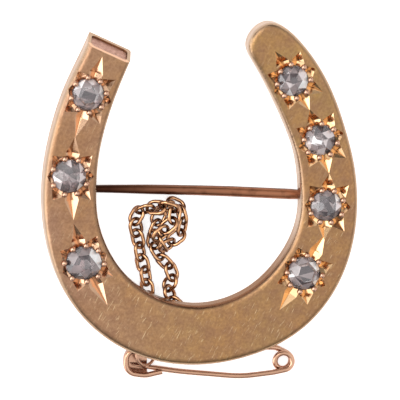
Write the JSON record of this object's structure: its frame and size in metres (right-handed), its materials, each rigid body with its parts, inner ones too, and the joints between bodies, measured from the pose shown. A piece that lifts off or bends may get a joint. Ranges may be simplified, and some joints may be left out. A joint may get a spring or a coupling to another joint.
{
  "type": "horseshoe brooch",
  "caption": "Gold horseshoe brooch with rose-cut stones in star settings, a hinged pin with a C catch, and a safety pin on a fine chain.",
  "frame": {"origin": "centre of the footprint, on the surface that the brooch lies on with its front up", "axes": "+Z out of the brooch's front, +Y towards the shoe's open end, +X to the right as seen from the front"},
  "size_m": [0.032, 0.0368, 0.0049],
  "materials": {
    "satin_gold": "satin front with bright cuts and worn edges",
    "dark_gold": "polished and tarnished",
    "rose_gold": "polished",
    "diamond": "facetted"
  },
  "bodies": {
    "brooch": {"horseshoe": "satin_gold", "diamond_left_top": "diamond", "diamond_left_middle": "diamond", "diamond_left_low": "diamond", "diamond_right_top": "diamond", "diamond_right_upper": "diamond", "diamond_right_lower": "diamond", "diamond_right_low": "diamond", "hinge_pin": "dark_gold", "safety_chain": "rose_gold", "jump_ring": "rose_gold", "safety_pin": "rose_gold"},
    "pin": {"pin_stem": "dark_gold"}
  },
  "joints": [
    {"name": "pin_hinge", "type": "hinge", "parent": "brooch", "child": "pin", "pos_m": [0.01262, 0.00021, 0.00095], "axis": [-0.0593, -0.9982, 0], "range_deg": [0, 110]}
  ]
}
